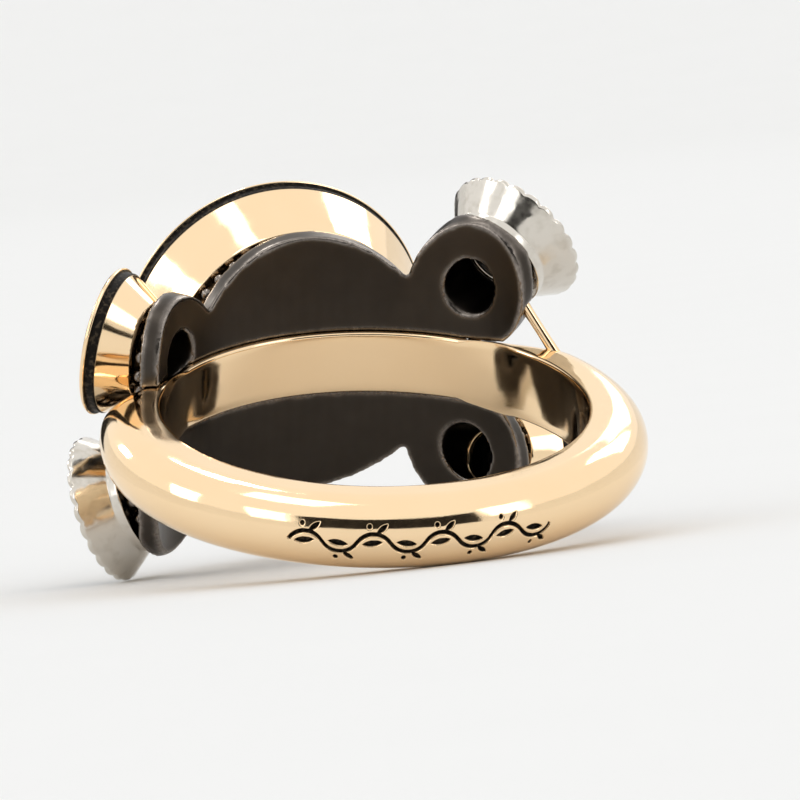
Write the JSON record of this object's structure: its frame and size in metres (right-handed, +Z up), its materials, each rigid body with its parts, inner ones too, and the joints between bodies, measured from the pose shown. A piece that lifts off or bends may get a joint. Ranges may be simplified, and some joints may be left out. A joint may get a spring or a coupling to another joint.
{
  "type": "ring",
  "caption": "Rose gold finger ring lying on its side, its head a cluster of round black stones in bezel, cup and collet settings on a dark frame; engraved vine on the back of the band.",
  "frame": {"origin": "middle of the part's bounding box, at the height of the surface that the ring lies on", "axes": "+Z up from that surface, +Y towards the head with its stones, +X to the right seen from behind the band; the finger hole's axis leans back from +Z because the head stands on its two low settings"},
  "size_m": [0.021, 0.0238, 0.0149],
  "materials": {
    "rose_gold": "polished",
    "white_metal": "satin",
    "blackened_silver": "satin",
    "black_stone": "polished"
  },
  "bodies": {
    "root": {"band": "rose_gold", "head_frame": "blackened_silver", "cup_upper_left": "rose_gold", "collet_lower_left": "white_metal", "collet_upper_right": "white_metal", "cup_lower_right": "rose_gold", "bezel_centre": "rose_gold", "stone_centre": "black_stone", "stone_upper_left": "black_stone", "stone_lower_left": "black_stone", "stone_upper_right": "black_stone", "stone_lower_right": "black_stone"}
  },
  "joints": []
}
